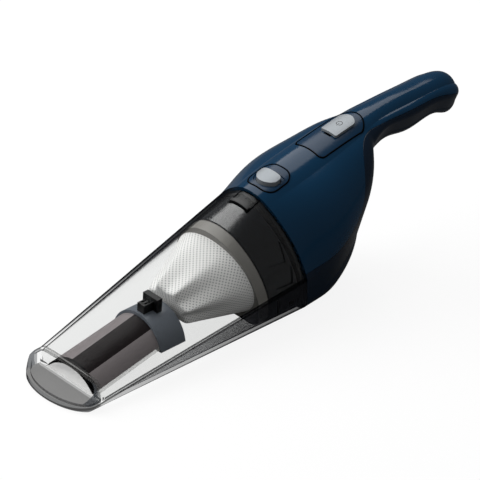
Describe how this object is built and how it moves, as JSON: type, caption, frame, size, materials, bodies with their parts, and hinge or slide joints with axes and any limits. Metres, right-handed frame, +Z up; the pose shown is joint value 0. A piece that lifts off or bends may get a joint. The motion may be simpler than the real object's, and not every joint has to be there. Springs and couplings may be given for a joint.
{
  "type": "handheld vacuum",
  "caption": "Cordless handheld vacuum with a navy motor housing and handle, a smoked clear dust bowl with a scoop mouth, pleated filter, release button and power slider.",
  "frame": {"origin": "centre of the overall box on the floor that the vacuum rests on", "axes": "+X from the nose to the end of the handle, +Y to the far side, +Z up"},
  "size_m": [0.4131, 0.102, 0.1242],
  "materials": {
    "smoked_clear": "clear smoked, polished",
    "navy_gloss": "satin gloss",
    "dark_plastic": "fine texture",
    "slate_plastic": "satin",
    "grey_plastic": "satin",
    "silver_plastic": "metallic silver",
    "felt": "soft pleated felt",
    "rubber": "matt",
    "steel": "plain",
    "nickel": "plain",
    "bronze": "plain",
    "magnet": "plain",
    "cell_wrap": "wrap",
    "board": "solder mask"
  },
  "bodies": {
    "housing": {"upper_housing": "navy_gloss", "lower_housing": "navy_gloss", "intake_spigot": "dark_plastic", "intake_grille": "dark_plastic", "spigot_screws": "steel", "bowl_gasket": "rubber", "exhaust_grille": "dark_plastic", "release_bezel": "navy_gloss", "switch_bezel": "navy_gloss", "slide_switch": "dark_plastic", "handle_screws": "steel", "fan_shroud": "dark_plastic", "motor_can": "steel", "motor_magnets": "magnet", "motor_endbell": "dark_plastic", "motor_bushes": "bronze", "motor_mount": "rubber", "battery_cell": "cell_wrap", "battery_cradle": "dark_plastic", "battery_tabs": "nickel", "charge_board": "board", "charge_jack": "dark_plastic", "release_spring": "steel"},
    "bowl": {"dust_bowl": "smoked_clear", "inlet_duct": "smoked_clear", "flap_frame": "slate_plastic", "flap_clip": "slate_plastic", "flap_pin": "steel"},
    "flap": {"flap_door": "dark_plastic"},
    "filter": {"filter_frame": "grey_plastic", "filter_fabric": "felt", "filter_seal": "rubber"},
    "rotor": {"motor_shaft": "steel", "motor_armature": "magnet", "fan_impeller": "grey_plastic"},
    "release": {"release_button": "silver_plastic", "release_latch": "dark_plastic"},
    "slider": {"power_slider": "silver_plastic", "slider_carrier": "dark_plastic"}
  },
  "joints": [
    {"name": "bowl_pull", "type": "slide", "parent": "housing", "child": "bowl", "axis": [-1, 0, 0], "range_m": [0, 0.18]},
    {"name": "filter_pull", "type": "slide", "parent": "housing", "child": "filter", "axis": [-1, 0, 0], "range_m": [0, 0.09]},
    {"name": "flap_swing", "type": "hinge", "parent": "bowl", "child": "flap", "pos_m": [-0.1131, 0, 0.0285], "axis": [0, -1, 0], "range_deg": [0, 55]},
    {"name": "fan_spin", "type": "hinge", "parent": "housing", "child": "rotor", "pos_m": [0.04, 0, 0.047], "axis": [1, 0, 0], "continuous": true},
    {"name": "release_press", "type": "slide", "parent": "housing", "child": "release", "axis": [0, 0, -1], "range_m": [0, 0.0025], "stiffness_N_per_m": 400, "deforming": ["release_spring"]},
    {"name": "switch_slide", "type": "slide", "parent": "housing", "child": "slider", "axis": [-0.9824, 0, -0.1867], "range_m": [0, 0.008]}
  ],
  "couplings": [
    {"joint": "filter_pull", "follows": "bowl_pull", "ratio": 0.5}
  ]
}
